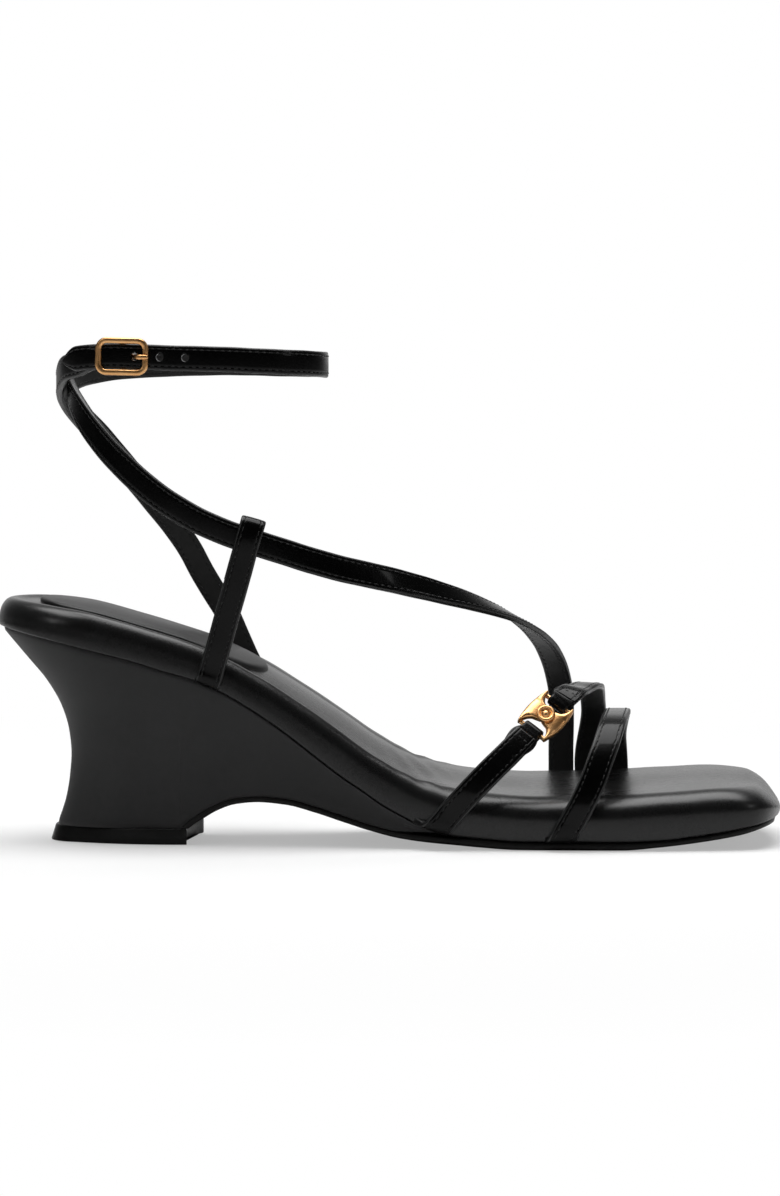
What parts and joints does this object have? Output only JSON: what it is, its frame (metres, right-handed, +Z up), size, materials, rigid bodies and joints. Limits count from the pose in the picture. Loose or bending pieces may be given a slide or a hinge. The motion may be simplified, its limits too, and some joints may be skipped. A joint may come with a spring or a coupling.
{
  "type": "wedge sandal",
  "caption": "Right-foot strappy sandal on a covered wedge, with padded footbed, narrow stitched straps, a metal link on the vamp and a buckled ankle strap.",
  "frame": {"origin": "on the floor, on the underside of the heel top piece", "axes": "+X runs to the toe, +Y to the inner side of the foot, +Z up"},
  "size_m": [0.2355, 0.0845, 0.152],
  "materials": {
    "outsole": "matt black rubber",
    "board": "pressed fibre board",
    "steel": "plain spring steel",
    "foam": "latex foam",
    "sole_leather": "smooth satin black",
    "core": "cork and wood composite",
    "wedge_leather": "smooth satin black",
    "strap_leather": "glossy black",
    "lining_leather": "satin black",
    "gold": "polished pale gold plating"
  },
  "bodies": {
    "sandal": {"outsole": "outsole", "insole_board": "board", "shank": "steel", "shank_rivets": "steel", "footbed_foam": "foam", "footbed_cover": "sole_leather", "heel_sock": "sole_leather", "wedge_core": "core", "wedge_cover": "wedge_leather", "heel_top_piece": "outsole", "top_piece_pins": "steel", "heel_screws": "steel", "toe_strap_outer": "strap_leather", "toe_strap_lining": "lining_leather", "vamp_strap_lower_outer": "strap_leather", "vamp_strap_lower_lining": "lining_leather", "instep_strap_outer": "strap_leather", "instep_strap_lining": "lining_leather", "side_stay_outer": "strap_leather", "side_stay_lining": "lining_leather", "buckle_strap_outer": "strap_leather", "buckle_strap_lining": "lining_leather"},
    "tail": {"strap_tail_outer": "strap_leather", "strap_tail_lining": "lining_leather"},
    "frame": {"buckle_frame": "gold", "buckle_bar": "gold"},
    "prong": {"buckle_prong": "gold"},
    "link": {"ornament_plate": "gold", "ornament_boss": "gold", "ornament_bars": "gold", "vamp_strap_upper_outer": "strap_leather", "vamp_strap_upper_lining": "lining_leather"}
  },
  "joints": [
    {"name": "strap_open", "type": "hinge", "parent": "sandal", "child": "tail", "pos_m": [0.0605, -0.0045, 0.1435], "axis": [0, 0, 1], "range_deg": [0, 70], "deforming": ["strap_tail_outer", "strap_tail_lining"]},
    {"name": "frame_tilt", "type": "hinge", "parent": "sandal", "child": "frame", "pos_m": [0.00199, -0.02822, 0.14634], "axis": [-0.0233, 0.0028, -0.9997], "range_deg": [0, 12]},
    {"name": "prong_lift", "type": "hinge", "parent": "frame", "child": "prong", "pos_m": [0.00199, -0.02822, 0.14634], "axis": [-0.0233, 0.0028, -0.9997], "range_deg": [0, 85]},
    {"name": "link_swing", "type": "hinge", "parent": "sandal", "child": "link", "pos_m": [0.12327, -0.02967, 0.03507], "axis": [-0.7531, 0.368, 0.5454], "range_deg": [-10, 10], "deforming": ["vamp_strap_upper_outer", "vamp_strap_upper_lining"]}
  ],
  "couplings": [
    {"joint": "frame_tilt", "follows": "strap_open", "ratio": 0.17133},
    {"joint": "prong_lift", "follows": "strap_open", "ratio": 1.2133}
  ]
}
